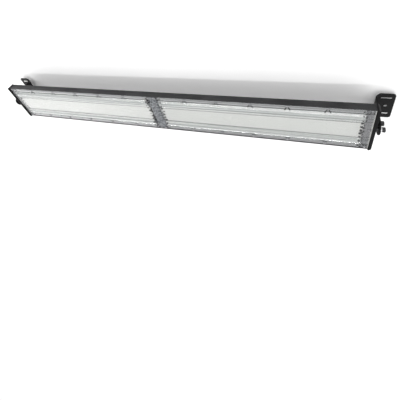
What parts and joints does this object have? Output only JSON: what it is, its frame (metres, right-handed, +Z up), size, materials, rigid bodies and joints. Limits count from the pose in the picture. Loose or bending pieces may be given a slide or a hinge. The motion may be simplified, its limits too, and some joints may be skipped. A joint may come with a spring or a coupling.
{
  "type": "linear high bay light",
  "caption": "Linear high bay light with two long moulded lenses in a finned charcoal housing, hung from a tilting slotted L bracket at each end.",
  "frame": {"origin": "the middle of the ceiling fixing pattern, in the plane of the two bracket flanges' upper faces", "axes": "+X along the lamp, +Z up toward the ceiling, +Y across the lamp; the lenses face -Z"},
  "size_m": [1.302, 0.152, 0.097],
  "materials": {
    "housing_coat": "satin charcoal powder coat",
    "cap_coat": "satin black powder coat",
    "gasket_rubber": "soft pale silicone foam",
    "clear_lens": "clear moulded polycarbonate",
    "bare_aluminium": "mill finish",
    "strip_steel": "brushed",
    "screw_steel": "bright zinc",
    "board_white": "white solder mask on aluminium",
    "led_phosphor": "yellow phosphor in a clear cover",
    "reflector_white": "diffuse white",
    "driver_case": "plain drawn case",
    "terminal_plastic": "moulded",
    "wire_sheath": "plain sheath",
    "gland_nylon": "moulded nylon",
    "seal_rubber": "smooth",
    "bracket_steel": "satin black powder coat",
    "washer_steel": "bright zinc",
    "bolt_steel": "black oxide"
  },
  "bodies": {
    "lamp": {"board_screws": "screw_steel", "centre_rail": "bare_aluminium", "driver_left": "driver_case", "driver_right": "driver_case", "end_cap_left": "cap_coat", "end_cap_right": "cap_coat", "end_cap_screws": "screw_steel", "end_gasket_left": "gasket_rubber", "end_gasket_right": "gasket_rubber", "end_rail_left": "bare_aluminium", "end_rail_right": "bare_aluminium", "flat_washers": "washer_steel", "gland_body": "gland_nylon", "gland_cap": "gland_nylon", "gland_nut": "gland_nylon", "gland_seal": "seal_rubber", "housing": "housing_coat", "internal_wires": "wire_sheath", "joint_strip": "strip_steel", "led_board_far_left": "board_white", "led_board_far_right": "board_white", "led_board_near_left": "board_white", "led_board_near_right": "board_white", "led_chips_far_left": "led_phosphor", "led_chips_far_right": "led_phosphor", "led_chips_near_left": "led_phosphor", "led_chips_near_right": "led_phosphor", "lens_gasket_left": "gasket_rubber", "lens_gasket_right": "gasket_rubber", "lens_left": "clear_lens", "lens_right": "clear_lens", "lens_screws": "screw_steel", "reflector_left": "reflector_white", "reflector_right": "reflector_white", "spacer_sleeves": "bolt_steel", "spring_washers": "washer_steel", "terminal_block": "terminal_plastic", "tilt_bolts": "bolt_steel"},
    "bracket_right": {"bracket_right": "bracket_steel"},
    "bracket_left": {"bracket_left": "bracket_steel"}
  },
  "joints": [
    {"name": "tilt_right", "type": "hinge", "parent": "lamp", "child": "bracket_right", "pos_m": [0.60755, 0, -0.075], "axis": [1, 0, 0], "range_deg": [-75, 10]},
    {"name": "tilt_left", "type": "hinge", "parent": "lamp", "child": "bracket_left", "pos_m": [-0.60755, 0, -0.075], "axis": [1, 0, 0], "range_deg": [-75, 10]}
  ]
}
